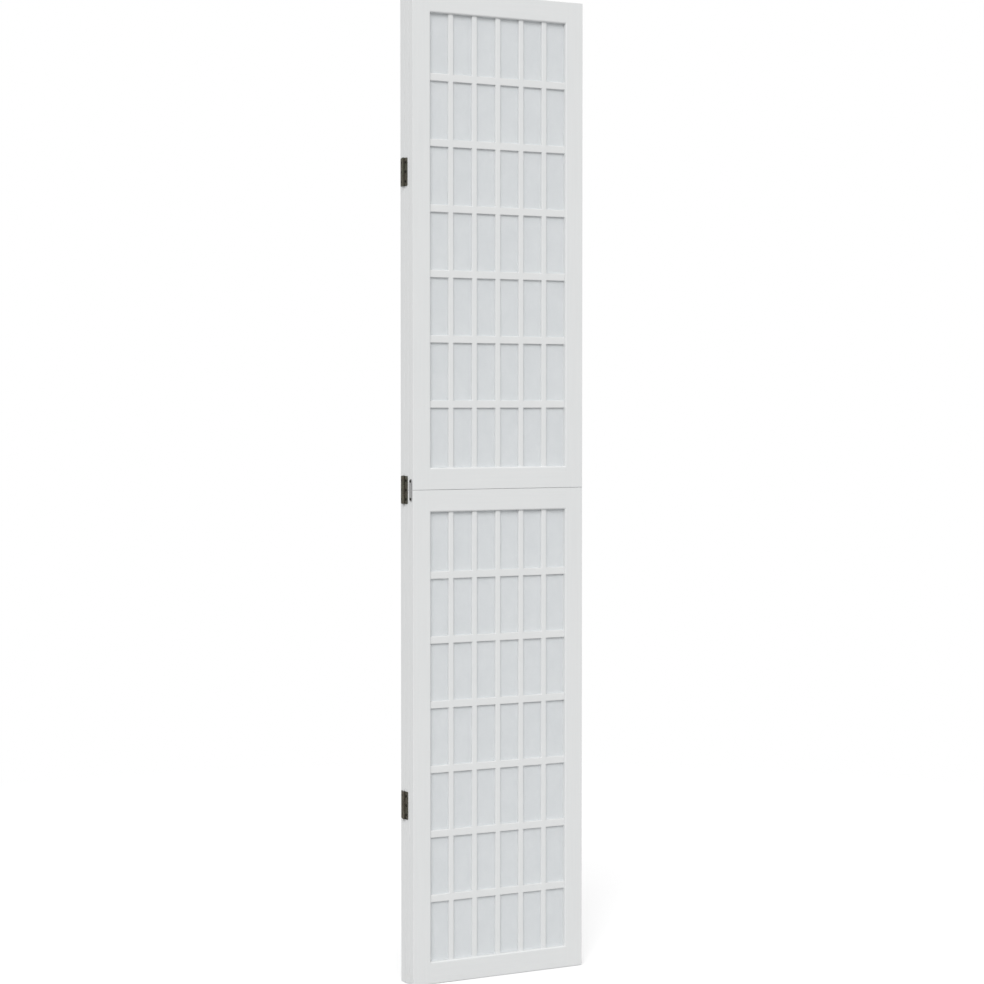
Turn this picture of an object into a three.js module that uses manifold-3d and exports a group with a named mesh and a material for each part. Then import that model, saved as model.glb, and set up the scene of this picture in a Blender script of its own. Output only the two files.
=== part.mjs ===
// A folding screen of three leaves. Each leaf is two lattice frames, one above the other, backed with paper.
// Millimetres, +Z up. The screen stands folded flat, and the origin lies on the floor under the middle of it.
// A leaf is drawn with its lattice towards -Y; left and right are as seen from that side.
import * as THREE from 'three';
import { LoftGeometry } from 'three/addons/geometries/LoftGeometry.js';
import { mergeVertices } from 'three/addons/utils/BufferGeometryUtils.js';
import Module from 'manifold-3d';

const wasm = await Module();
wasm.setup();

// Leaves
const screenHeight = 1780;
const leafWidth = 350;
const leafThickness = 16;
const foldedGap = 0.8; // air between two leaves folded together
const seamGap = 0.4; // between the lower and the upper frame of a leaf
const arrisEase = 1; // radius on the outer edges of every frame

// Stiles and rails
const stileWidth = 36;
const railHeight = 39.5;
const openingRound = 3; // quarter round along the front of each opening
const tenonLength = 20;
const tenonThickness = 5;
const tenonToRebate = 1; // wood left between a tenon and the rebate
const rebateWidth = 8; // step round the back of each opening, where the paper is glued
const dowelDiameter = 6;
const dowelLength = 15; // stands out of the lower stile, into the upper one
const dowelFromEdge = 9;

// Lattice
const columnCount = 6;
const rowCount = 7;
const uprightWidth = 10;
const crossbarHeight = 13.5;
const barDepth = 4.5;
const barRecess = 4; // behind the front of the frame
const endCellHeight = 107;
const barTenonLength = 4;
const barTenonShoulder = 1.5; // from the front of a bar to the front of its tenon

// Paper
const paperThickness = 0.5;
const paperMargin = 6; // glued overlap on the rebate

// Hinges
const hingeHeight = 50;
const hingeFromEnd = 322; // from the top and the bottom of a leaf to the middle of a hinge
const hingeReach = 12.7; // from the pin's axis to the far edge of a plate
const plateThickness = 1.2;
const knuckleCount = 3;
const knuckleRadius = 2.5;
const knuckleGap = 0.3;
const pinRadius = 1.2;
const pinClearance = 0.25;
const pinHeadRadius = 2.1;
const pinHeadHeight = 1.2;
const pinTipLength = 3;
const hingeScrewFromEnd = 8;
const hingeScrewFromEdge = 5;

// Mending plates and screw holes
const mendingLength = 40;
const mendingWidth = 9;
const mendingThickness = 1.2;
const mendingHoleSpacing = 32;
const screwHoleRadius = 1.5;
const countersinkRadius = 2.8;

// Fits
const glueGap = 0.2; // glue line round tenons, at shoulders and behind the paper
const seatGap = 0.2; // between metal and the wood under it
const cutMargin = 0.5; // how far a cutter runs past the face that it cuts

// Facets
const roundSteps = 3;
const easeSteps = 1;
const turnedSides = 12;
const holeSides = 8;
const stripEndSteps = 4; // to each quarter of a mending plate's round ends

// Places that follow from the sizes
const leafPitch = leafThickness + foldedGap;
const frameHeight = (screenHeight - seamGap) / 2;
const frontFace = -leafThickness / 2;
const backFace = leafThickness / 2;
const barFront = frontFace + barRecess;
const barBack = barFront + barDepth;
const tenonShoulder = rebateWidth + tenonToRebate; // above and below each tenon
const openingHalf = leafWidth / 2 - stileWidth;
const openingX = [-openingHalf, openingHalf];
const openingZ = [railHeight, frameHeight - railHeight];
const columnPitch = (2 * openingHalf + uprightWidth) / columnCount;
const rowPitch = (openingZ[1] - openingZ[0] - 2 * endCellHeight - crossbarHeight) / (rowCount - 2);
const axisOffset = knuckleRadius + seatGap; // from a leaf's edge to the pin's axis

// Finishes
const paintedWood = finish(0xdddfdf, 0.45, 0);
const backingPaper = finish(0xd4d7d8, 0.9, 0);
const darkBronze = finish(0x4a473f, 0.45, 0.9);
const zincPlate = finish(0xa9a9ab, 0.4, 0.9);

function finish(color, roughness, metalness) {
  return new THREE.MeshStandardMaterial({ color, roughness, metalness, flatShading: true });
}

// A closed geometry made a solid that can be cut and joined.
function solidOf(geometry) {
  const bare = new THREE.BufferGeometry();
  bare.setAttribute('position', geometry.attributes.position);
  bare.setIndex(geometry.index);
  const merged = mergeVertices(bare);
  const vertProperties = merged.attributes.position.array;
  const triVerts = Uint32Array.from(merged.index.array);
  return new wasm.Manifold(new wasm.Mesh({ numProp: 3, vertProperties, triVerts }));
}

function meshOf(name, solid, material) {
  const { vertProperties, triVerts } = solid.getMesh();
  const geometry = new THREE.BufferGeometry();
  geometry.setAttribute('position', new THREE.BufferAttribute(vertProperties, 3));
  geometry.setIndex(new THREE.BufferAttribute(triVerts, 1));
  const mesh = new THREE.Mesh(geometry, material);
  mesh.name = name;
  return mesh;
}

// A straight block between limits along X, Y and Z.
function block(x, y, z) {
  const geometry = new THREE.BoxGeometry(x[1] - x[0], y[1] - y[0], z[1] - z[0]);
  geometry.translate((x[0] + x[1]) / 2, (y[0] + y[1]) / 2, (z[0] + z[1]) / 2);
  return solidOf(geometry);
}

function widened(limits, by) {
  return [limits[0] - by, limits[1] + by];
}

// The same block with room for a glue line on every side.
function roomFor(tenon) {
  return block(widened(tenon.x, glueGap), widened(tenon.y, glueGap), widened(tenon.z, glueGap));
}

// A solid lofted through upright rectangles, from the front to the back.
function lofted(rectangles) {
  const sections = rectangles.map(({ y, x, z }) => [
    new THREE.Vector3(x[0], y, z[0]),
    new THREE.Vector3(x[0], y, z[1]),
    new THREE.Vector3(x[1], y, z[1]),
    new THREE.Vector3(x[1], y, z[0]),
  ]);
  return solidOf(new LoftGeometry(sections, { capStart: true, capEnd: true }));
}

// The outside of one frame, with all its outer edges eased.
function easedOutline() {
  const width = [-leafWidth / 2, leafWidth / 2];
  const height = [0, frameHeight];
  const rectangles = [];
  for (const side of [-1, 1]) {
    for (let step = 0; step <= easeSteps; step += 1) {
      const turn = (Math.PI / 2) * (side < 0 ? step : easeSteps - step) / easeSteps;
      const inset = arrisEase * (1 - Math.sin(turn));
      const y = side * (backFace - arrisEase * (1 - Math.cos(turn)));
      rectangles.push({ y, x: widened(width, -inset), z: widened(height, -inset) });
    }
  }
  return lofted(rectangles);
}

// The cutter that rounds the front of an opening, mitred where two sides meet.
function flaredOpening() {
  const section = (y, flare) => ({ y, x: widened(openingX, flare), z: widened(openingZ, flare) });
  const rectangles = [section(frontFace - cutMargin, openingRound)];
  for (let step = 0; step <= roundSteps; step += 1) {
    const turn = (Math.PI / 2) * (step / roundSteps);
    const inward = openingRound * (1 - Math.cos(turn));
    rectangles.push(section(frontFace + inward, openingRound * (1 - Math.sin(turn))));
  }
  return lofted(rectangles);
}

function paperRebate() {
  const depth = [barBack, backFace + cutMargin];
  return block(widened(openingX, rebateWidth), depth, widened(openingZ, rebateWidth));
}

// Where the two tenons of a rail lie, in the middle of its thickness; bottom is the rail's lower edge.
function railTenons(bottom) {
  const root = openingHalf - glueGap;
  const tip = openingHalf + tenonLength;
  const y = [-tenonThickness / 2, tenonThickness / 2];
  const z = [bottom + tenonShoulder, bottom + railHeight - tenonShoulder];
  return [-1, 1].map((side) => ({ x: sorted(side * root, side * tip), y, z }));
}

function sorted(a, b) {
  return a < b ? [a, b] : [b, a];
}

function uprightCentres() {
  const first = openingX[0] - uprightWidth / 2 + columnPitch;
  return Array.from({ length: columnCount - 1 }, (_, k) => first + k * columnPitch);
}

function crossbarCentres() {
  const first = openingZ[0] + endCellHeight + crossbarHeight / 2;
  return Array.from({ length: rowCount - 1 }, (_, k) => first + k * rowPitch);
}

// Where the stub tenons of the lattice bars lie: of the uprights in the rails, of the crossbars in the stiles.
// A tenon is as wide as its bar and level with its back, so the lattice drops into the frame from behind.
function barTenons() {
  const y = [barFront + barTenonShoulder, barBack];
  const inRails = uprightCentres().flatMap((x) => {
    const width = widened([x, x], uprightWidth / 2);
    return [
      { x: width, y, z: [openingZ[0] - barTenonLength, openingZ[0] + glueGap] },
      { x: width, y, z: [openingZ[1] - glueGap, openingZ[1] + barTenonLength] },
    ];
  });
  const inStiles = crossbarCentres().flatMap((z) => {
    const height = widened([z, z], crossbarHeight / 2);
    return [
      { x: [openingX[0] - barTenonLength, openingX[0] + glueGap], y, z: height },
      { x: [openingX[1] - glueGap, openingX[1] + barTenonLength], y, z: height },
    ];
  });
  return { inRails, inStiles };
}

// A round bar along Z, its axis at x in the plane Y = 0.
function roundBar(radius, z, sides, x = 0) {
  const geometry = new THREE.CylinderGeometry(radius, radius, z[1] - z[0], sides);
  geometry.rotateX(Math.PI / 2);
  geometry.translate(x, 0, (z[0] + z[1]) / 2);
  return solidOf(geometry);
}

// side is -1 for the left stile, 1 for the right one. A dowel between the frames is glued into the lower stile.
function stile(side, isUpper) {
  const x = sorted(side * openingHalf, side * leafWidth / 2);
  const dowelX = side * (leafWidth / 2 - dowelFromEdge);
  let solid = block(x, [frontFace, backFace], [0, frameHeight]).intersect(easedOutline());
  solid = solid.subtract(flaredOpening()).subtract(paperRebate());
  for (const tenon of [...railTenons(0), ...railTenons(frameHeight - railHeight), ...barTenons().inStiles]) {
    solid = solid.subtract(roomFor(tenon));
  }
  if (isUpper) {
    const hole = [-cutMargin, dowelLength];
    return solid.subtract(roundBar(dowelDiameter / 2 + glueGap, hole, holeSides, dowelX));
  }
  const dowel = [frameHeight - cutMargin, frameHeight + dowelLength];
  return solid.add(roundBar(dowelDiameter / 2, dowel, holeSides, dowelX));
}

// bottom is the rail's lower edge.
function rail(bottom) {
  const x = widened(openingX, -glueGap);
  let solid = block(x, [frontFace, backFace], [bottom, bottom + railHeight]).intersect(easedOutline());
  solid = solid.subtract(flaredOpening()).subtract(paperRebate());
  for (const tenon of barTenons().inRails) {
    solid = solid.subtract(roomFor(tenon));
  }
  for (const tenon of railTenons(bottom)) {
    solid = solid.add(block(tenon.x, tenon.y, tenon.z));
  }
  return solid;
}

// A bar along X, centred on its width, with a stub tenon at each end. span is the opening that it crosses.
function bar(span, width) {
  const [from, to] = widened(span, -glueGap);
  const [tenonFrom, tenonTo] = widened(span, barTenonLength);
  const tenonFront = barFront + barTenonShoulder;
  const side = new THREE.Shape();
  side.moveTo(from, barFront);
  side.lineTo(to, barFront);
  side.lineTo(to, tenonFront);
  side.lineTo(tenonTo, tenonFront);
  side.lineTo(tenonTo, barBack);
  side.lineTo(tenonFrom, barBack);
  side.lineTo(tenonFrom, tenonFront);
  side.lineTo(from, tenonFront);
  const geometry = new THREE.ExtrudeGeometry(side, { depth: width, bevelEnabled: false });
  return geometry.translate(0, 0, -width / 2);
}

// The bars are half lapped where they cross, so their fronts and backs are level, and glued into one lattice.
function lattice() {
  const crossbars = crossbarCentres().map((z) => bar(openingX, crossbarHeight).translate(0, 0, z));
  const upright = (x) => bar(openingZ, uprightWidth).rotateY(-Math.PI / 2).translate(x, 0, 0);
  const uprights = uprightCentres().map(upright);
  return [...crossbars, ...uprights].map(solidOf).reduce((joined, piece) => joined.add(piece));
}

function paper() {
  const y = [barBack + glueGap, barBack + glueGap + paperThickness];
  return block(widened(openingX, paperMargin), y, widened(openingZ, paperMargin));
}

// A countersunk hole along X through a plate between two limits; its wide end is at the second limit.
function screwHole(limits, y, z) {
  const slope = (countersinkRadius - screwHoleRadius) / (limits[1] - limits[0]);
  const [from, to] = widened(limits, cutMargin);
  const wide = countersinkRadius + slope * cutMargin;
  const narrow = screwHoleRadius - slope * cutMargin;
  const geometry = new THREE.CylinderGeometry(wide, narrow, to - from, holeSides);
  geometry.rotateZ(-Math.PI / 2);
  geometry.translate((from + to) / 2, y, z);
  return solidOf(geometry);
}

function knuckleLimits(k) {
  const height = (hingeHeight - (knuckleCount - 1) * knuckleGap) / knuckleCount;
  const bottom = -hingeHeight / 2 + k * (height + knuckleGap);
  return [bottom, bottom + height];
}

// One plate of a hinge. The pin's axis is Z and the wood lies behind X = -axisOffset. side is the plate's in Y.
// parity picks the knuckles that the plate carries: every other one, from the first or from the second.
function hingePlate(side, parity) {
  const x = [-knuckleRadius, -knuckleRadius + plateThickness];
  let solid = block(x, sorted(0, side * hingeReach), [-hingeHeight / 2, hingeHeight / 2]);
  for (let k = 0; k < knuckleCount; k += 1) {
    if (k % 2 === parity) {
      solid = solid.add(roundBar(knuckleRadius, knuckleLimits(k), turnedSides));
    } else {
      const notch = sorted(-side * cutMargin, side * (knuckleRadius + knuckleGap));
      solid = solid.subtract(block(widened(x, cutMargin), notch, widened(knuckleLimits(k), knuckleGap)));
    }
  }
  const bore = widened([-hingeHeight / 2, hingeHeight / 2], cutMargin);
  solid = solid.subtract(roundBar(pinRadius + pinClearance, bore, turnedSides));
  const screwEnd = hingeHeight / 2 - hingeScrewFromEnd;
  for (const z of [-screwEnd, 0, screwEnd]) {
    solid = solid.subtract(screwHole(x, side * (hingeReach - hingeScrewFromEdge), z));
  }
  return solid;
}

// A turned pin with a low conical head that rests on the top knuckle.
function hingePin() {
  const tip = -hingeHeight / 2 - pinTipLength;
  const seat = hingeHeight / 2 + seatGap;
  const profile = [
    new THREE.Vector2(0, tip),
    new THREE.Vector2(pinRadius, tip + pinRadius / 2),
    new THREE.Vector2(pinRadius, seat),
    new THREE.Vector2(pinHeadRadius, seat),
    new THREE.Vector2(pinHeadRadius, seat + pinHeadHeight / 2),
    new THREE.Vector2(0, seat + pinHeadHeight),
  ];
  const geometry = new THREE.LatheGeometry(profile, turnedSides);
  geometry.rotateX(Math.PI / 2);
  return solidOf(geometry);
}

// A flat strip with round ends across the seam. The wood lies behind X = 0.
function mendingPlate() {
  const radius = mendingWidth / 2;
  const reach = mendingLength / 2 - radius;
  const outline = new THREE.Shape();
  outline.absarc(0, reach, radius, 0, Math.PI);
  outline.absarc(0, -reach, radius, Math.PI, 2 * Math.PI);
  const strip = { depth: mendingThickness, bevelEnabled: false, curveSegments: stripEndSteps };
  const geometry = new THREE.ExtrudeGeometry(outline, strip);
  const across = new THREE.Vector3(0, 1, 0);
  const up = new THREE.Vector3(0, 0, 1);
  const out = new THREE.Vector3(1, 0, 0);
  geometry.applyMatrix4(new THREE.Matrix4().makeBasis(across, up, out));
  geometry.translate(seatGap, 0, 0);
  const x = [seatGap, seatGap + mendingThickness];
  const holes = [-1, 1].map((end) => screwHole(x, 0, end * mendingHoleSpacing / 2));
  return solidOf(geometry).subtract(holes[0]).subtract(holes[1]);
}

// The pieces of one frame, drawn from its lower edge upwards.
function framePieces(isUpper) {
  return [
    ['left_stile', stile(-1, isUpper), paintedWood],
    ['right_stile', stile(1, isUpper), paintedWood],
    ['bottom_rail', rail(0), paintedWood],
    ['top_rail', rail(frameHeight - railHeight), paintedWood],
    ['lattice', lattice(), paintedWood],
    ['paper', paper(), backingPaper],
  ];
}

const frames = { lower: framePieces(false), upper: framePieces(true) };
const frameBottoms = { lower: 0, upper: frameHeight + seamGap };

function leaf(leafName) {
  const group = new THREE.Group();
  for (const [frameName, pieces] of Object.entries(frames)) {
    for (const [pieceName, solid, material] of pieces) {
      const mesh = meshOf(`${leafName}_${frameName}_${pieceName}`, solid, material);
      mesh.position.z = frameBottoms[frameName];
      group.add(mesh);
    }
  }
  return group;
}

// Three butt hinges down one fold, in a frame whose Z axis is the fold's axis. The first plate is on the leaf
// that swings, the second one, which holds the pin, on the middle leaf.
function foldHinges(foldName) {
  const heights = { bottom: hingeFromEnd, centre: screenHeight / 2, top: screenHeight - hingeFromEnd };
  const group = new THREE.Group();
  for (const [place, height] of Object.entries(heights)) {
    const hinge = new THREE.Group();
    hinge.add(meshOf(`${foldName}_${place}_hinge_outer_plate`, hingePlate(-1, 1), darkBronze));
    hinge.add(meshOf(`${foldName}_${place}_hinge_inner_plate`, hingePlate(1, 0), darkBronze));
    hinge.add(meshOf(`${foldName}_${place}_hinge_pin`, hingePin(), darkBronze));
    hinge.position.z = height;
    group.add(hinge);
  }
  return group;
}

const screen = new THREE.Group();

// Front and middle leaf lie back to back, middle and rear leaf lattice to lattice.
const frontLeaf = leaf('front');
frontLeaf.position.y = -leafPitch;
const middleLeaf = leaf('middle');
middleLeaf.rotation.z = Math.PI;
const rearLeaf = leaf('rear');
rearLeaf.position.y = leafPitch;
screen.add(frontLeaf, middleLeaf, rearLeaf);

// The front fold is on the right, the rear fold on the left.
const frontFold = foldHinges('front_fold');
frontFold.position.set(leafWidth / 2 + axisOffset, -leafPitch / 2, 0);
const rearFold = foldHinges('rear_fold');
rearFold.position.set(-leafWidth / 2 - axisOffset, leafPitch / 2, 0);
rearFold.rotation.z = Math.PI;
screen.add(frontFold, rearFold);

// Each free edge of the two outer leaves has a strip over the seam.
const frontMending = meshOf('front_mending_plate', mendingPlate(), zincPlate);
frontMending.position.set(-leafWidth / 2, -leafPitch, screenHeight / 2);
frontMending.rotation.z = Math.PI;
const rearMending = meshOf('rear_mending_plate', mendingPlate(), zincPlate);
rearMending.position.set(leafWidth / 2, leafPitch, screenHeight / 2);
screen.add(frontMending, rearMending);

export default screen;
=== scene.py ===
import math
import random
import bpy
from mathutils import Matrix, Vector


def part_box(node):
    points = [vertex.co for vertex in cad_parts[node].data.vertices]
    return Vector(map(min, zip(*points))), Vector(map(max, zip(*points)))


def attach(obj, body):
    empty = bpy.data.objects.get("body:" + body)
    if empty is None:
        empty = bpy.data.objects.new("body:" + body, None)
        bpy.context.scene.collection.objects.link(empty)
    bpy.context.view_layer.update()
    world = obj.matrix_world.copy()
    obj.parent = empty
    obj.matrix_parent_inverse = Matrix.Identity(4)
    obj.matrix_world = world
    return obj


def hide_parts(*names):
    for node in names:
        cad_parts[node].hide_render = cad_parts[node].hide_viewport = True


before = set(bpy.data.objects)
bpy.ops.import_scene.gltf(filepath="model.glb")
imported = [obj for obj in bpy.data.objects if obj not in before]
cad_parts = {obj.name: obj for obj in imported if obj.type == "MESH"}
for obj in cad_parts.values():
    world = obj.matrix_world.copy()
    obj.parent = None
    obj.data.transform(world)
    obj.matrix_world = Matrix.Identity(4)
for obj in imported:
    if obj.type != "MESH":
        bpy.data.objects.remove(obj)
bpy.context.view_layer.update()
print("frame loaded,", len(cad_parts), "solids")

# camera
cameraPlace = {
    "eye": (-2.1004, -3.8764, 1.0423),
    "azimuth": -28.434,  # degrees, where it looks
    "tiltDown": 1.785,
    "lens": 88.42,
    "shiftUp": -0.012,
}


def addCamera():
    bpy.ops.object.camera_add(location=cameraPlace["eye"])
    camera = bpy.context.object
    camera.name = "camera"
    tilt = math.radians(90 - cameraPlace["tiltDown"])
    camera.rotation_euler = (tilt, 0, math.radians(cameraPlace["azimuth"]))
    camera.data.lens = cameraPlace["lens"]
    camera.data.sensor_width = 36
    camera.data.shift_y = cameraPlace["shiftUp"]
    bpy.context.scene.camera = camera


addCamera()
print("camera placed")

# sizes read off the frame, in metres
stileLow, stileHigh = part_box("front_lower_left_stile")
railLow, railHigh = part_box("front_lower_bottom_rail")
topRailLow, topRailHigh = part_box("front_lower_top_rail")
latticeLow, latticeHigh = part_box("front_lower_lattice")
paperLow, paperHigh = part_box("front_lower_paper")
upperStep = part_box("front_upper_bottom_rail")[0].z - railLow.z
leafMiddle = {}
for leafName in ("front", "middle", "rear"):
    leafLow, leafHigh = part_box(leafName + "_lower_left_stile")
    leafMiddle[leafName] = (leafLow.y + leafHigh.y) / 2
leafHalf = -stileLow.x
openingHalf = -stileHigh.x
openingLow = railHigh.z
openingHigh = topRailLow.z
frameHeight = topRailHigh.z
near = 0.00002  # two places closer than this are the same
beyond = 0.0005  # how far a cutter runs past a face


# small helpers for modelling
def only(piece):
    if bpy.context.object and bpy.context.object.mode != "OBJECT":
        bpy.ops.object.mode_set(mode="OBJECT")
    bpy.ops.object.select_all(action="DESELECT")
    piece.select_set(True)
    bpy.context.view_layer.objects.active = piece
    return piece


def placeInMesh(piece):
    only(piece)
    bpy.ops.object.transform_apply(location=True, rotation=True, scale=True)
    return piece


def addBlock(name, low, high):
    bpy.ops.object.select_all(action="DESELECT")
    middle = [(a + b) / 2 for a, b in zip(low, high)]
    extent = [b - a for a, b in zip(low, high)]
    bpy.ops.mesh.primitive_cube_add(size=1, location=middle, scale=extent)
    piece = bpy.context.object
    piece.name = name
    return placeInMesh(piece)


def addRod(name, radius, low, high, sides, topRadius=None):
    # a round bar or cone along Z; low and high are heights
    bpy.ops.object.select_all(action="DESELECT")
    top = radius if topRadius is None else topRadius
    middle = (0, 0, (low + high) / 2)
    bpy.ops.mesh.primitive_cone_add(
        vertices=sides, radius1=radius, radius2=top, depth=high - low, location=middle)
    piece = bpy.context.object
    piece.name = name
    return placeInMesh(piece)


def selectParts(piece, vertexTest=None, edgeTest=None, faceTest=None):
    # leaves the piece in edit mode with just the wanted parts selected
    only(piece)
    bpy.ops.object.mode_set(mode="EDIT")
    kind = "VERT" if vertexTest else "EDGE" if edgeTest else "FACE"
    bpy.ops.mesh.select_mode(type=kind)
    bpy.ops.mesh.select_all(action="DESELECT")
    bpy.ops.object.mode_set(mode="OBJECT")
    mesh = piece.data
    if vertexTest:
        for vertex in mesh.vertices:
            vertex.select = vertexTest(vertex.co)
    if edgeTest:
        for edge in mesh.edges:
            a, b = (mesh.vertices[i].co for i in edge.vertices)
            edge.select = edgeTest(a, b)
    if faceTest:
        for face in mesh.polygons:
            face.select = faceTest(face.center, face.normal)
    bpy.ops.object.mode_set(mode="EDIT")


def bevelEdges(piece, width, steps, edgeTest):
    selectParts(piece, edgeTest=edgeTest)
    bpy.ops.mesh.bevel(
        offset=width, offset_type="OFFSET", segments=steps, profile=0.5, affect="EDGES")
    bpy.ops.object.mode_set(mode="OBJECT")


def bisectAt(piece, place, normal, clearInner=False, fill=False):
    # scores the piece along a plane, or cuts away what lies behind the plane
    only(piece)
    bpy.ops.object.mode_set(mode="EDIT")
    bpy.ops.mesh.select_all(action="SELECT")
    bpy.ops.mesh.bisect(
        plane_co=place, plane_no=normal, clear_inner=clearInner, use_fill=fill, threshold=0.000001)
    bpy.ops.object.mode_set(mode="OBJECT")


def carve(piece, tool, operation="DIFFERENCE"):
    only(piece)
    step = piece.modifiers.new("carve", "BOOLEAN")
    step.operation = operation
    step.solver = "EXACT"
    step.object = tool
    bpy.ops.object.modifier_apply(modifier=step.name)
    bpy.data.objects.remove(tool)
    return piece


def smooth(piece, degrees):
    # rounded edges shade smoothly while the large faces stay flat
    only(piece)
    bpy.ops.object.shade_smooth_by_angle(angle=math.radians(degrees))
    step = piece.modifiers.new("flatFaces", "WEIGHTED_NORMAL")
    step.mode = "FACE_AREA"
    step.weight = 100
    step.keep_sharp = True
    bpy.ops.object.modifier_apply(modifier=step.name)
    return piece


def turned(name, profile, steps):
    # profile is (radius, height) points up the Z axis; the chain is drawn and spun round
    bpy.ops.object.select_all(action="DESELECT")
    bpy.ops.mesh.primitive_plane_add(size=0.001)
    piece = bpy.context.object
    piece.name = name
    bpy.ops.object.mode_set(mode="EDIT")
    bpy.ops.mesh.select_mode(type="VERT")
    bpy.ops.mesh.select_all(action="SELECT")
    bpy.ops.mesh.merge(type="CENTER")
    bpy.ops.mesh.select_all(action="SELECT")
    bpy.ops.transform.translate(value=(profile[0][0], 0, profile[0][1]))
    for here, there in zip(profile, profile[1:]):
        move = (there[0] - here[0], 0, there[1] - here[1])
        bpy.ops.mesh.extrude_region_move(TRANSFORM_OT_translate={"value": move})
    bpy.ops.mesh.select_all(action="SELECT")
    bpy.ops.mesh.spin(steps=steps, angle=2 * math.pi, center=(0, 0, 0), axis=(0, 0, 1))
    bpy.ops.mesh.select_all(action="SELECT")
    bpy.ops.mesh.remove_doubles(threshold=0.00001)
    bpy.ops.mesh.normals_make_consistent(inside=False)
    bpy.ops.object.mode_set(mode="OBJECT")
    return piece


def placedCopy(master, name, place):
    piece = master.copy()
    piece.data = master.data.copy()
    piece.name = name
    piece.data.name = name
    bpy.context.collection.objects.link(piece)
    piece.data.transform(place)
    return piece


def finishPiece(piece, body, slotName, material, *nodes):
    piece.data.materials.clear()
    piece.data.materials.append(material)
    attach(piece, body)
    if nodes:
        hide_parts(*nodes)


# shader maths
class Wire:  # a shader socket that takes part in Python arithmetic
    def __init__(self, tree, socket=None):
        self.tree = tree
        self.socket = socket

    def node(self, kind, settings, sockets, out=0):
        # settings are the node's own, sockets its inputs, and out the output that is used
        made = self.tree.nodes.new(kind)
        for key, value in settings.items():
            setattr(made, key, value)
        for key, value in sockets.items():
            if isinstance(value, Wire):
                self.tree.links.new(value.socket, made.inputs[key])
            else:
                made.inputs[key].default_value = value
        return Wire(self.tree, made.outputs[out])

    def maths(self, operation, *values):
        return self.node("ShaderNodeMath", {"operation": operation}, dict(enumerate(values)))

    def __add__(self, other):
        return self.maths("ADD", self, other)

    def __radd__(self, other):
        return self.maths("ADD", other, self)

    def __sub__(self, other):
        return self.maths("SUBTRACT", self, other)

    def __rsub__(self, other):
        return self.maths("SUBTRACT", other, self)

    def __mul__(self, other):
        return self.maths("MULTIPLY", self, other)

    def __rmul__(self, other):
        return self.maths("MULTIPLY", other, self)

    def ramp(self, low, high):  # 0 below low, 1 above high
        return self.node("ShaderNodeMapRange", {"clamp": True}, {0: self, 1: low, 2: high})

    def colours(self, first, second):  # this value mixes two colours
        sockets = {0: self, 6: first, 7: second}
        return self.node("ShaderNodeMix", {"data_type": "RGBA"}, sockets, out=2)

    def noise(self, where, scale, detail=3.0, rough=0.55):
        sockets = {"Vector": where, "Scale": scale, "Detail": detail, "Roughness": rough}
        return self.node("ShaderNodeTexNoise", {}, sockets)

    def stretched(self, scale, turn=(0, 0, 0)):  # places on the object, scaled and turned
        place = self.node("ShaderNodeTexCoord", {}, {}, out="Object")
        sockets = {"Vector": place, "Scale": scale, "Rotation": turn}
        return self.node("ShaderNodeMapping", {}, sockets)

    def bump(self, height, strength, distance):
        sockets = {"Strength": strength, "Distance": distance, "Height": height}
        return self.node("ShaderNodeBump", {}, sockets)


asItIs = (1, 1, 1)  # the scale of places that aren't stretched


def newMaterial(name):
    material = bpy.data.materials.new(name)
    material.use_nodes = True
    tree = material.node_tree
    shader = next(n for n in tree.nodes if n.type == "BSDF_PRINCIPLED")
    return material, Wire(tree), shader


def feed(wire, shader, sockets):
    for key, value in sockets.items():
        if isinstance(value, Wire):
            wire.tree.links.new(value.socket, shader.inputs[key])
        else:
            shader.inputs[key].default_value = value


paint = {
    "white": (0.722, 0.731, 0.731, 1),
    "shade": (0.700, 0.711, 0.712, 1),
    "roughness": 0.42,
    "roughnessSpread": 0.12,
    "gloss": 0.42,
    "cloudScale": 9.0,
    "brushFiner": 3.1,  # brush marks are this much finer than the grain
    "toneRange": (0.36, 0.64),
    "reliefStrength": 0.18,
    "reliefHeight": 0.0003,
    "stileGrain": (240, 240, 7),
    "railGrain": (7, 240, 240),
    "latticeGrain": (60, 60, 60),
}


def paintedWood(name, grainScale):
    # satin white paint, through which the softwood's grain shows as a faint relief
    material, wire, shader = newMaterial(name)
    brushScale = [value * paint["brushFiner"] for value in grainScale]
    grain = wire.noise(wire.stretched(grainScale), 1.0, 4.0, 0.6)
    cloud = wire.noise(wire.stretched(asItIs), paint["cloudScale"], 2.0)
    brush = wire.noise(wire.stretched(brushScale), 1.0, 2.0)
    tone = (cloud * 0.35 + grain * 0.65).ramp(*paint["toneRange"])
    relief = grain * 0.7 + brush * 0.3
    spread = paint["roughnessSpread"]
    feed(wire, shader, {
        "Base Color": tone.colours(paint["shade"], paint["white"]),
        "Roughness": paint["roughness"] - spread / 2 + spread * brush,
        "Normal": wire.bump(relief, paint["reliefStrength"], paint["reliefHeight"]),
        "Specular IOR Level": paint["gloss"],
    })
    return material


washi = {
    "thin": (0.655, 0.680, 0.695, 1),
    "dense": (0.700, 0.722, 0.735, 1),
    "cloudScale": 26.0,
    "cloudRange": (0.3, 0.7),
    # each layer of fibres: its turn in the sheet, and its scale along X, Y and Z
    "layers": ((0.5, (900, 40, 70)), (-0.7, (70, 40, 900)), (1.3, (700, 40, 60))),
    "fibreRange": (0.60, 0.74),
    "reliefStrength": 0.25,
    "reliefHeight": 0.0002,
    "glow": 0.25,  # share of the light that passes into the sheet
    "glowDepth": 0.0006,
}


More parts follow.
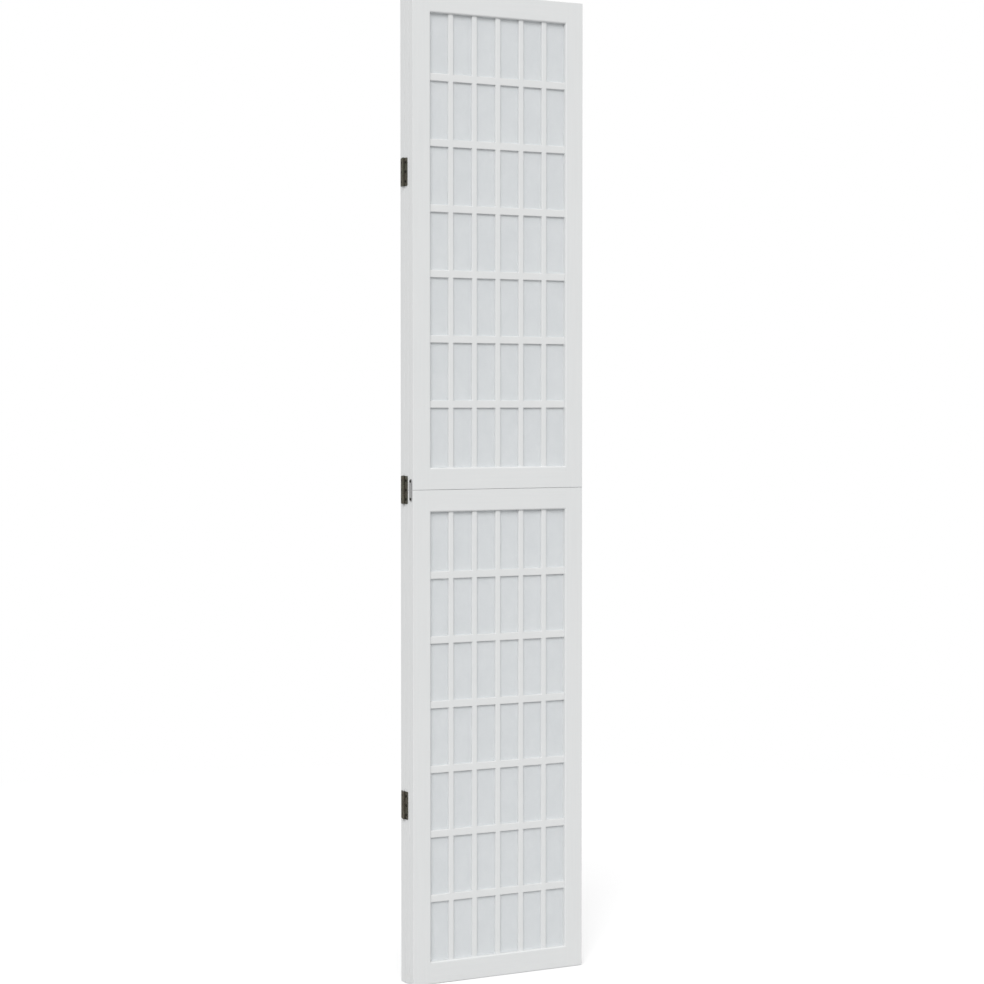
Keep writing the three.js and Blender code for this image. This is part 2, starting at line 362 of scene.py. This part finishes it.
def washiPaper():
    # long fibres lie both ways in a cloudy sheet
    material, wire, shader = newMaterial("washiPaper")
    cloud = wire.noise(wire.stretched(asItIs), washi["cloudScale"], 5.0, 0.6)
    fibres = []
    for turn, scale in washi["layers"]:
        strand = wire.noise(wire.stretched(scale, (0, turn, 0)), 1.0, 3.0, 0.5)
        fibres.append(strand.ramp(*washi["fibreRange"]))
    fibre = fibres[0].maths("MAXIMUM", fibres[0], fibres[1])
    fibre = fibre.maths("MAXIMUM", fibre, fibres[2])
    tone = cloud.ramp(*washi["cloudRange"]) * 0.7 + fibre * 0.3
    relief = cloud * 0.5 + fibre * 0.5
    feed(wire, shader, {
        "Base Color": tone.colours(washi["thin"], washi["dense"]),
        "Roughness": 0.95 - 0.1 * fibre,
        "Normal": wire.bump(relief, washi["reliefStrength"], washi["reliefHeight"]),
        "Specular IOR Level": 0.2,
        "Subsurface Weight": washi["glow"],
        "Subsurface Radius": (1.0, 1.0, 1.0),
        "Subsurface Scale": washi["glowDepth"],
    })
    return material


hingeSkin = {
    "olive": (0.067, 0.069, 0.049, 1),
    "brown": (0.075, 0.066, 0.051, 1),
    "rubbed": (0.118, 0.112, 0.084, 1),
    "gloss": 0.35,
}
# near-black screws: the real screws are the same bronze as the hinges, and this dark colour paints the shade
# around and below their raised heads
screwSkinPaintedShade = {
    "olive": (0.012, 0.012, 0.009, 1),
    "brown": (0.015, 0.012, 0.009, 1),
    "rubbed": (0.036, 0.031, 0.024, 1),
    "gloss": 0.2,
}
bronze = {
    "driftScale": 70.0,
    "driftRange": (0.42, 0.58),
    "patchScale": 340.0,
    "wearRange": (0.50, 0.76),
    "speckScale": 2400.0,
    "roughness": 0.50,
    "speckStrength": 0.12,
    "speckHeight": 0.0001,
}


def agedBronze(name, skin):
    # an olive and brown skin in soft patches, with lighter metal where it is rubbed
    material, wire, shader = newMaterial(name)
    drift = wire.noise(wire.stretched(asItIs), bronze["driftScale"], 2.0)
    patches = wire.noise(wire.stretched(asItIs), bronze["patchScale"], 4.0, 0.65)
    specks = wire.noise(wire.stretched(asItIs), bronze["speckScale"], 2.0)
    wear = patches.ramp(*bronze["wearRange"])
    patina = drift.ramp(*bronze["driftRange"]).colours(skin["olive"], skin["brown"])
    feed(wire, shader, {
        "Base Color": wear.colours(patina, skin["rubbed"]),
        "Metallic": 0.40 + 0.35 * wear,
        "Roughness": bronze["roughness"] + 0.14 * patches - 0.08 * wear,
        "Normal": wire.bump(specks, bronze["speckStrength"], bronze["speckHeight"]),
        "Specular IOR Level": skin["gloss"],
    })
    return material


zinc = {
    "dull": (0.26, 0.26, 0.262, 1),
    "bright": (0.40, 0.40, 0.402, 1),
    "flakeScale": 420.0,
    "patchScale": 260.0,
    "metallic": 0.9,
    "roughness": 0.34,
}


def zincPlate():
    # flakes of zinc under duller patches
    material, wire, shader = newMaterial("zincPlate")
    sockets = {"Vector": wire.stretched(asItIs), "Scale": zinc["flakeScale"]}
    spangle = wire.node("ShaderNodeTexVoronoi", {}, sockets, out=1)
    patches = wire.noise(wire.stretched(asItIs), zinc["patchScale"], 3.0)
    flake = spangle.node("ShaderNodeSeparateColor", {}, {0: spangle})
    tone = flake * 0.5 + patches * 0.5
    feed(wire, shader, {
        "Base Color": tone.colours(zinc["dull"], zinc["bright"]),
        "Metallic": zinc["metallic"],
        "Roughness": zinc["roughness"] + 0.14 * patches,
    })
    return material


materials = {
    "stile": paintedWood("paintedStile", paint["stileGrain"]),
    "rail": paintedWood("paintedRail", paint["railGrain"]),
    "lattice": paintedWood("paintedLattice", paint["latticeGrain"]),
    "paper": washiPaper(),
    "bronze": agedBronze("agedBronze", hingeSkin),
    # the screws' near-black bronze is painted shade
    "screw": agedBronze("screwBronzePaintedShade", screwSkinPaintedShade),
    "zinc": zincPlate(),
}
print("materials mixed:", ", ".join(materials))

# stiles and rails
frameShape = {
    "openingRound": 0.003,
    "roundSteps": 6,
    "arrisEase": 0.001,
    "easeSteps": 3,
    "rebateWidth": 0.008,
    "hairline": 0.00003,  # either side of a shoulder
    "smoothBelow": 32,
}


def modelFrame():
    # the whole frame of the front leaf's lower half, before it is parted at the shoulders
    front, back = stileLow.y, stileHigh.y
    piece = addBlock("wholeFrame", (-leafHalf, front, 0), (leafHalf, back, frameHeight))
    for x in (-openingHalf, openingHalf):
        bisectAt(piece, (x, 0, 0), (1, 0, 0))
    for z in (openingLow, openingHigh):
        bisectAt(piece, (0, 0, z), (0, 0, 1))
    middle = (openingLow + openingHigh) / 2

    def onField(at, normal):
        return abs(normal.y) > 0.9 and abs(at.x) < near and abs(at.z - middle) < near

    selectParts(piece, faceTest=onField)
    bpy.ops.mesh.bridge_edge_loops()
    bpy.ops.object.mode_set(mode="OBJECT")

    def onOpening(a, b):
        ends = (openingLow, openingHigh)
        alongSide = abs(abs(a.x) - openingHalf) < near and abs(a.x - b.x) < near
        alongRail = any(abs(a.z - z) < near and abs(b.z - z) < near for z in ends)
        inside = max(abs(a.x), abs(b.x)) < openingHalf + near
        inside = inside and min(a.z, b.z) > openingLow - near and max(a.z, b.z) < openingHigh + near
        return inside and (alongSide or alongRail) and max(a.y, b.y) < front + near

    bevelEdges(piece, frameShape["openingRound"], frameShape["roundSteps"], onOpening)

    def outside(a, b):
        onFace = any(abs(a.y - y) < near and abs(b.y - y) < near for y in (front, back))
        onSide = any(abs(a.x - x) < near and abs(b.x - x) < near for x in (-leafHalf, leafHalf))
        onEnd = any(abs(a.z - z) < near and abs(b.z - z) < near for z in (0, frameHeight))
        return onFace and (onSide or onEnd)

    bevelEdges(piece, frameShape["arrisEase"], frameShape["easeSteps"], outside)
    wide = frameShape["rebateWidth"]
    rebate = addBlock("rebate", (-openingHalf - wide, latticeHigh.y, openingLow - wide),
                      (openingHalf + wide, back + wide, openingHigh + wide))
    return carve(piece, rebate)


def partFrame(whole):
    # cuts the frame at the shoulders into two stiles and two rails
    stileFrom = openingHalf - frameShape["hairline"]
    railTo = openingHalf - 2 * frameShape["hairline"]
    members = {}
    for name, side in (("left_stile", -1), ("right_stile", 1)):
        stile = placedCopy(whole, name, Matrix.Identity(4))
        bisectAt(stile, (side * stileFrom, 0, 0), (side, 0, 0), clearInner=True, fill=True)
        members[name] = smooth(stile, frameShape["smoothBelow"])
    for name, side in (("bottom_rail", -1), ("top_rail", 1)):
        rail = placedCopy(whole, name, Matrix.Identity(4))
        for end in (-1, 1):
            bisectAt(rail, (end * railTo, 0, 0), (-end, 0, 0), clearInner=True, fill=True)
        keepHalf(rail, side)
        members[name] = smooth(rail, frameShape["smoothBelow"])
    bpy.data.objects.remove(whole)
    return members


def keepHalf(rail, side):
    # the two rails hang apart once the stiles are gone; one of them is thrown away
    middle = (openingLow + openingHigh) / 2
    selectParts(rail, vertexTest=lambda at: (at.z - middle) * side < 0)
    bpy.ops.mesh.delete(type="VERT")
    bpy.ops.object.mode_set(mode="OBJECT")


# lattice
latticeShape = {
    "columns": 6,
    "rows": 7,
    "uprightWidth": 0.010,
    "crossbarHeight": 0.0135,
    "endCellHeight": 0.107,
    "barRound": 0.0015,
    "roundSteps": 3,
    "smoothBelow": 40,
}


def barCentres():
    columns, rows = latticeShape["columns"], latticeShape["rows"]
    wide, tall = latticeShape["uprightWidth"], latticeShape["crossbarHeight"]
    pitch = (2 * openingHalf + wide) / columns
    across = [-openingHalf - wide / 2 + pitch * (k + 1) for k in range(columns - 1)]
    first = openingLow + latticeShape["endCellHeight"] + tall / 2
    last = openingHigh - latticeShape["endCellHeight"] - tall / 2
    up = [first + (last - first) * k / (rows - 2) for k in range(rows - 1)]
    return across, up


def modelLattice():
    # a sheet scored along every bar; its cells are taken out, it is thickened and its front edges are rounded
    across, up = barCentres()
    front, back = latticeLow.y, latticeHigh.y
    bpy.ops.object.select_all(action="DESELECT")
    centre = (0, front, (openingLow + openingHigh) / 2)
    bpy.ops.mesh.primitive_plane_add(size=1, location=centre, rotation=(math.pi / 2, 0, 0))
    piece = bpy.context.object
    piece.scale = (2 * openingHalf, openingHigh - openingLow, 1)
    placeInMesh(piece)
    wide, tall = latticeShape["uprightWidth"] / 2, latticeShape["crossbarHeight"] / 2
    for x in across:
        bisectAt(piece, (x - wide, 0, 0), (1, 0, 0))
        bisectAt(piece, (x + wide, 0, 0), (1, 0, 0))
    for z in up:
        bisectAt(piece, (0, 0, z - tall), (0, 0, 1))
        bisectAt(piece, (0, 0, z + tall), (0, 0, 1))

    def inCell(at, normal):
        return all(abs(at.x - x) > wide for x in across) and all(abs(at.z - z) > tall for z in up)

    selectParts(piece, faceTest=inCell)
    bpy.ops.mesh.delete(type="FACE")
    bpy.ops.object.mode_set(mode="OBJECT")
    only(piece)
    step = piece.modifiers.new("thickness", "SOLIDIFY")
    step.thickness = back - front
    step.offset = -1
    bpy.ops.object.modifier_apply(modifier=step.name)

    def alongBar(a, b):
        if max(a.y, b.y) > front + near:
            return False
        onUpright = abs(a.x - b.x) < near and any(abs(abs(a.x - x) - wide) < near for x in across)
        onCrossbar = abs(a.z - b.z) < near and any(abs(abs(a.z - z) - tall) < near for z in up)
        middle = (a + b) / 2
        betweenUp = onUpright and all(abs(middle.z - z) > tall for z in up)
        betweenAcross = onCrossbar and all(abs(middle.x - x) > wide for x in across)
        return betweenUp or betweenAcross

    bevelEdges(piece, latticeShape["barRound"], latticeShape["roundSteps"], alongBar)
    return smooth(piece, latticeShape["smoothBelow"])


# paper
paperShape = {
    "thickness": 0.00018,
    "lift": 0.00006,  # glue line behind the bars
    "pillow": 0.00035,  # how far the sheet stands back between two bars
    "ripple": 0.00012,
    "meshStep": 0.0055,
    "fullSlack": 1.6,  # above 1, the sheet is evenly slack in the middle of a cell
    "waves": ((143, 31), (-19, 57)),  # each wave of the ripple: radians per metre along X and Z
    "smoothBelow": 60,  # degrees
}


def modelPaper():
    # a taut sheet, glued to every bar, that stands back a little in each cell
    across, up = barCentres()
    wide, tall = paperHigh.x - paperLow.x, paperHigh.z - paperLow.z
    bpy.ops.object.select_all(action="DESELECT")
    meshStep = paperShape["meshStep"]
    centre = (0, latticeHigh.y + paperShape["lift"], (paperLow.z + paperHigh.z) / 2)
    bpy.ops.mesh.primitive_grid_add(
        x_subdivisions=round(wide / meshStep), y_subdivisions=round(tall / meshStep),
        size=1, location=centre, rotation=(math.pi / 2, 0, 0))
    piece = bpy.context.object
    piece.scale = (wide, tall, 1)
    placeInMesh(piece)
    columnEdges = [-openingHalf] + across + [openingHalf]
    rowEdges = [openingLow] + up + [openingHigh]

    def between(value, edges, half):
        for a, b in zip(edges, edges[1:]):
            low = a + (half if a != edges[0] else 0)
            high = b - (half if b != edges[-1] else 0)
            if low < value < high:
                return math.sin(math.pi * (value - low) / (high - low))
        return 0.0

    for vertex in piece.data.vertices:
        at = vertex.co
        inColumn = between(at.x, columnEdges, latticeShape["uprightWidth"] / 2)
        inRow = between(at.z, rowEdges, latticeShape["crossbarHeight"] / 2)
        slack = min(inColumn * inRow * paperShape["fullSlack"], 1.0)
        wave = math.prod(math.sin(at.x * x + at.z * z) for x, z in paperShape["waves"])
        at.y += slack * (paperShape["pillow"] + paperShape["ripple"] * wave)
    only(piece)
    step = piece.modifiers.new("thickness", "SOLIDIFY")
    step.thickness = paperShape["thickness"]
    step.offset = -1
    bpy.ops.object.modifier_apply(modifier=step.name)
    bpy.ops.object.shade_smooth_by_angle(angle=math.radians(paperShape["smoothBelow"]))
    return piece


# hinges and their screws
def hingeCentre(hinge):
    # on the pin's axis, halfway up the plates
    low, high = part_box(hinge + "_pin")
    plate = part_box(hinge + "_inner_plate")
    return Vector(((low.x + high.x) / 2, (low.y + high.y) / 2, (plate[0].z + plate[1].z) / 2))


plateLow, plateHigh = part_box("front_fold_centre_hinge_inner_plate")
pinLow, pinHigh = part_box("front_fold_centre_hinge_pin")
foldAxis = hingeCentre("front_fold_centre_hinge")
hingeShape = {
    "halfHeight": (plateHigh.z - plateLow.z) / 2,
    "reach": plateHigh.y - foldAxis.y,
    "thickness": 0.0012,
    "knuckles": 3,
    "knuckleRadius": (plateHigh.x - plateLow.x) / 2,
    "knuckleGap": 0.0003,
    "knuckleSides": 40,
    "boreRadius": 0.00135,
    "boreSides": 32,
    "cornerRound": 0.0016,
    "cornerSteps": 5,
    "softEdge": 0.00015,
    "softAbove": 35,  # degrees
    "smoothBelow": 25,  # degrees; the soft edges shade flat, so that they don't tint the plates
    "screwFromEnd": 0.008,
    "screwFromEdge": 0.005,
    "holeRadius": 0.0015,
    "sinkRadius": 0.0028,
    "sinkSides": 28,
}


def countersink(x, y, z):
    # a cone along X that opens outwards, from x to x plus the plate's thickness
    thick, hole, sink = hingeShape["thickness"], hingeShape["holeRadius"], hingeShape["sinkRadius"]
    more = (sink - hole) / thick * beyond
    sides = hingeShape["sinkSides"]
    cone = addRod("sink", hole - more, -beyond, thick + beyond, sides, sink + more)
    cone.data.transform(Matrix.Translation((x, y, z)) @ Matrix.Rotation(math.pi / 2, 4, "Y"))
    return cone


def softenEdges(piece):
    only(piece)
    step = piece.modifiers.new("soft", "BEVEL")
    step.width = hingeShape["softEdge"]
    step.segments = 2
    step.limit_method = "ANGLE"
    step.angle_limit = math.radians(hingeShape["softAbove"])
    bpy.ops.object.modifier_apply(modifier=step.name)


def knuckleLimits(k):
    half, count, gap = hingeShape["halfHeight"], hingeShape["knuckles"], hingeShape["knuckleGap"]
    tall = (2 * half - (count - 1) * gap) / count
    low = -half + k * (tall + gap)
    return low, low + tall


def modelHingePlate(name, side, parity):
    # drawn round the pin's axis, with the wood towards -X
    shape = hingeShape
    radius, thick, half = shape["knuckleRadius"], shape["thickness"], shape["halfHeight"]
    reach = side * shape["reach"]
    piece = addBlock(name, (-radius, min(0, reach), -half), (thick - radius, max(0, reach), half))

    def onCorner(a, b):
        return abs(a.y - reach) < near and abs(b.y - reach) < near and abs(a.z - b.z) < near

    bevelEdges(piece, shape["cornerRound"], shape["cornerSteps"], onCorner)
    gap = shape["knuckleGap"]
    for k in range(shape["knuckles"]):
        low, high = knuckleLimits(k)
        if k % 2 == parity:
            carve(piece, addRod("knuckle", radius, low, high, shape["knuckleSides"]), "UNION")
        else:
            inner, outer = sorted((-side * beyond, side * (radius + gap)))
            notchLow = (-radius - beyond, inner, low - gap)
            carve(piece, addBlock("notch", notchLow, (radius, outer, high + gap)))
    end = half + beyond
    carve(piece, addRod("bore", shape["boreRadius"], -end, end, shape["boreSides"]))
    screwEnd = half - shape["screwFromEnd"]
    for z in (-screwEnd, 0, screwEnd):
        carve(piece, countersink(-radius, reach - side * shape["screwFromEdge"], z))
    softenEdges(piece)
    return smooth(piece, shape["smoothBelow"])


pinShape = {
    "shankRadius": 0.0012,
    "headHeight": 0.0012,
    "rimHeight": 0.0004,  # of the head, below its dome
    "rimEase": 0.0001,
    "tip": ((0, 0), (0.0006, 0.0001), (0.0011, 0.0004)),  # radius and height over the end
    "tipHeight": 0.0009,
    "sides": 28,
    "smoothBelow": 50,
}


def modelPin():
    # round the axis of the fold; the head is on top and the tip stands out below the knuckles
    shape = pinShape
    low, high = pinLow.z - foldAxis.z, pinHigh.z - foldAxis.z
    head = (pinHigh.x - pinLow.x) / 2
    shank, ease = shape["shankRadius"], shape["rimEase"]
    seat = high - shape["headHeight"]
    rim = seat + shape["rimHeight"]
    domeHeight = shape["headHeight"] - shape["rimHeight"]
    turns = (0, 0.3, 0.6, 0.9, 1.2)
    dome = [(head * math.cos(turn), rim + domeHeight * math.sin(turn)) for turn in turns]
    tip = [(radius, low + up) for radius, up in shape["tip"]]
    neck = [(shank, low + shape["tipHeight"]), (shank, seat), (head - ease, seat), (head, seat + ease)]
    piece = turned("hingePin", tip + neck + dome + [(0, high)], shape["sides"])
    return smooth(piece, shape["smoothBelow"])


screwShape = {
    "headRadius": 0.0027,
    "dome": 0.0012,
    "sink": 0.0012,
    "shankRadius": 0.0012,
    "length": 0.0095,
    "pointLength": 0.003,
    "bluntLength": 0.001,
    "rim": (-0.00005, 0.00002),  # just in and just out of the plate
    "recessLength": 0.0030,
    "recessWidth": 0.00062,
    "recessDepth": 0.0011,
    "sides": 28,
    "smoothBelow": 40,
}


def modelScrew():
    # along +X from the plate's outer face at 0, with a raised oval head and a cross recess
    shape = screwShape
    head, dome, length = shape["headRadius"], shape["dome"], shape["length"]
    shank = shape["shankRadius"]
    turns = (0.25, 0.55, 0.85, 1.15, 1.4)
    crown = [(head * math.cos(turn), dome * math.sin(turn)) for turn in turns]
    point = [(0, -length), (shank * 0.4, shape["bluntLength"] - length),
             (shank, shape["pointLength"] - length), (shank, -shape["sink"])]
    rim = [(head, height) for height in shape["rim"]]
    piece = turned("screw", point + rim + crown + [(0, dome)], shape["sides"])
    arm, half = shape["recessLength"] / 2, shape["recessWidth"] / 2
    bottom = dome - shape["recessDepth"]
    for wide, deep in ((arm, half), (half, arm)):
        carve(piece, addBlock("recess", (-wide, -deep, bottom), (wide, deep, dome + beyond)))
    piece.data.transform(Matrix.Rotation(math.pi / 2, 4, "Y"))
    return smooth(piece, shape["smoothBelow"])


mendingLow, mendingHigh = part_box("rear_mending_plate")
mendingShape = {
    "endRound": 0.985,  # of half the plate's width
    "endSteps": 8,
    "screwSpacing": 0.032,
    "screwTurn": 0.4,
}


def modelMendingPlate():
    # drawn at the rear leaf's free edge, with the wood towards -X
    endRadius = (mendingHigh.y - mendingLow.y) / 2 * mendingShape["endRound"]
    piece = addBlock("mendingPlate", mendingLow, mendingHigh)
    bevelEdges(piece, endRadius, mendingShape["endSteps"], lambda a, b: abs(a.x - b.x) > near)
    for end in (-1, 1):
        place = mendingHole(end)
        carve(piece, countersink(mendingLow.x, place.y, place.z))
    softenEdges(piece)
    return smooth(piece, hingeShape["smoothBelow"])


def mendingHole(end):
    middle = (mendingLow + mendingHigh) / 2
    up = end * mendingShape["screwSpacing"] / 2
    return Vector((mendingHigh.x, middle.y, middle.z + up))


# putting the leaves together
def leafPlace(leaf, isUpper):
    # from the front leaf's lower frame to another one; the middle leaf is turned round
    lift = Matrix.Translation((0, 0, upperStep if isUpper else 0))
    toAxis = Matrix.Translation((0, -leafMiddle["front"], 0))
    turn = Matrix.Rotation(math.pi, 4, "Z") if leaf == "middle" else Matrix.Identity(4)
    return lift @ Matrix.Translation((0, leafMiddle[leaf], 0)) @ turn @ toAxis


def dressLeaves():
    masters = partFrame(modelFrame())
    print("stiles and rails modelled")
    masters["lattice"] = modelLattice()
    print("lattice modelled")
    masters["paper"] = modelPaper()
    print("paper modelled")
    finish = {
        "left_stile": "stile", "right_stile": "stile", "bottom_rail": "rail", "top_rail": "rail",
        "lattice": "lattice", "paper": "paper",
    }
    for leaf in leafMiddle:
        for half in ("lower", "upper"):
            for part, master in masters.items():
                node = f"{leaf}_{half}_{part}"
                piece = placedCopy(master, "dressed_" + node, leafPlace(leaf, half == "upper"))
                slotName = "paper" if part == "paper" else "white_paint"
                finishPiece(piece, leaf + "_leaf", slotName, materials[finish[part]], node)
    for master in masters.values():
        bpy.data.objects.remove(master)
    print("leaves put together")


def dressHinges():
    masters = {
        "inner_plate": modelHingePlate("innerPlate", 1, 0),
        "outer_plate": modelHingePlate("outerPlate", -1, 1),
        "pin": modelPin(),
    }
    screw = modelScrew()
    shape = hingeShape
    random.seed(7)
    screwEnd = shape["halfHeight"] - shape["screwFromEnd"]
    for fold, leaf, turn in (("front_fold", "front_leaf", 0), ("rear_fold", "rear_leaf", math.pi)):
        bodies = {"inner_plate": "middle_leaf", "outer_plate": leaf, "pin": "middle_leaf"}
        for place in ("bottom", "centre", "top"):
            hinge = f"{fold}_{place}_hinge"
            spot = Matrix.Translation(hingeCentre(hinge)) @ Matrix.Rotation(turn, 4, "Z")
            for part, master in masters.items():
                node = f"{hinge}_{part}"
                piece = placedCopy(master, "dressed_" + node, spot)
                slotName, finish = ("zinc", "zinc") if part == "pin" else ("dark_bronze", "bronze")
                finishPiece(piece, bodies[part], slotName, materials[finish], node)
            for part, side in (("inner_plate", 1), ("outer_plate", -1)):
                spots = []
                for z in (-screwEnd, 0, screwEnd):
                    y = side * (shape["reach"] - shape["screwFromEdge"])
                    seat = Matrix.Translation((shape["thickness"] - shape["knuckleRadius"], y, z))
                    spots.append(spot @ seat @ Matrix.Rotation(random.uniform(0, math.pi), 4, "X"))
                piece = screwSet(screw, f"{hinge}_{part}_screws", spots)
                finishPiece(piece, bodies[part], "dark_bronze", materials["screw"])
    for master in masters.values():
        bpy.data.objects.remove(master)
    print("hinges hung")
    return screw


def screwSet(screw, name, spots):
    pieces = [placedCopy(screw, name, spot) for spot in spots]
    only(pieces[0])
    for piece in pieces:
        piece.select_set(True)
    bpy.ops.object.join()
    pieces[0].name = name
    return pieces[0]


def dressMendingPlates(screw):
    plate = modelMendingPlate()
    for leaf in ("front", "rear"):
        low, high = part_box(leaf + "_mending_plate")
        turn = Matrix.Rotation(math.pi if leaf == "front" else 0, 4, "Z")
        move = Matrix.Translation((low + high) / 2) @ turn
        move = move @ Matrix.Translation(-(mendingLow + mendingHigh) / 2)
        piece = placedCopy(plate, f"dressed_{leaf}_mending_plate", move)
        finishPiece(piece, leaf + "_leaf", "zinc", materials["zinc"], leaf + "_mending_plate")
        spots = []
        for end in (-1, 1):
            screwTurn = Matrix.Rotation(mendingShape["screwTurn"] * end, 4, "X")
            spots.append(move @ Matrix.Translation(mendingHole(end)) @ screwTurn)
        piece = screwSet(screw, f"{leaf}_mending_plate_screws", spots)
        finishPiece(piece, leaf + "_leaf", "dark_bronze", materials["screw"])
    bpy.data.objects.remove(plate)
    bpy.data.objects.remove(screw)
    print("mending plates screwed on")


dressLeaves()
dressMendingPlates(dressHinges())

# floor, world and lamps
studio = {
    "floorSize": 60,
    "skyStrength": 0.865,  # what lights the screen; the camera and mirrored rays see plain white
    "floorTone": 0.43,  # what the floor throws back on the screen
    "floorFade": (0.9, 2.6),  # metres from the screen over which the floor turns to plain white
    "keyStrength": 1.49,
    "keySoftness": 34,  # degrees
    "keyFrom": (35, 34),  # degrees to the left of the front, and up
}


def seenRays(wire):  # 1 for what the camera sees, also in a mirroring surface
    straight = wire.node("ShaderNodeLightPath", {}, {}, out="Is Camera Ray")
    mirrored = wire.node("ShaderNodeLightPath", {}, {}, out="Is Glossy Ray")
    return straight.maths("MAXIMUM", straight, mirrored)


def addFloor():
    bpy.ops.object.select_all(action="DESELECT")
    bpy.ops.mesh.primitive_plane_add(size=studio["floorSize"], location=(0, 0, -0.0003))
    floor = bpy.context.object
    floor.name = "floor"
    material, wire, shader = newMaterial("paleFloor")
    seen = seenRays(wire)
    tone = studio["floorTone"]
    feed(wire, shader, {
        "Base Color": seen.colours((tone, tone, tone, 1), (1.0, 1.0, 1.0, 1)),
        "Roughness": 0.9,
        "Specular IOR Level": 0.0,
    })
    onGround = wire.stretched((1, 1, 0))
    away = wire.node("ShaderNodeVectorMath", {"operation": "LENGTH"}, {0: onGround}, out=1)
    far = away.ramp(*studio["floorFade"]) * seen
    white = wire.node("ShaderNodeEmission", {}, {"Color": (1, 1, 1, 1), "Strength": 1.0})
    lit = Wire(wire.tree, shader.outputs[0])
    both = wire.node("ShaderNodeMixShader", {}, {0: far, 1: lit, 2: white})
    output = next(n for n in wire.tree.nodes if n.type == "OUTPUT_MATERIAL")
    wire.tree.links.new(both.socket, output.inputs["Surface"])
    floor.data.materials.append(material)


def addWorld():
    world = bpy.data.worlds.new("softStudio")
    bpy.context.scene.world = world
    world.use_nodes = True
    wire = Wire(world.node_tree)
    background = next(n for n in world.node_tree.nodes if n.type == "BACKGROUND")
    background.inputs["Color"].default_value = (1, 1, 1, 1)
    strength = studio["skyStrength"] + seenRays(wire) * (1 - studio["skyStrength"])
    world.node_tree.links.new(strength.socket, background.inputs["Strength"])


def addKey():
    left, up = (math.radians(angle) for angle in studio["keyFrom"])
    towards = Vector((math.sin(left) * math.cos(up), math.cos(left) * math.cos(up), -math.sin(up)))
    bpy.ops.object.light_add(type="SUN", location=-4 * towards)
    lamp = bpy.context.object
    lamp.name = "keyLamp"
    lamp.data.energy = studio["keyStrength"]
    lamp.data.angle = math.radians(studio["keySoftness"])
    lamp.rotation_euler = towards.to_track_quat("-Z", "Y").to_euler()


addFloor()
addWorld()
addKey()
bpy.context.scene.view_settings.view_transform = "Standard"
print("studio lit")
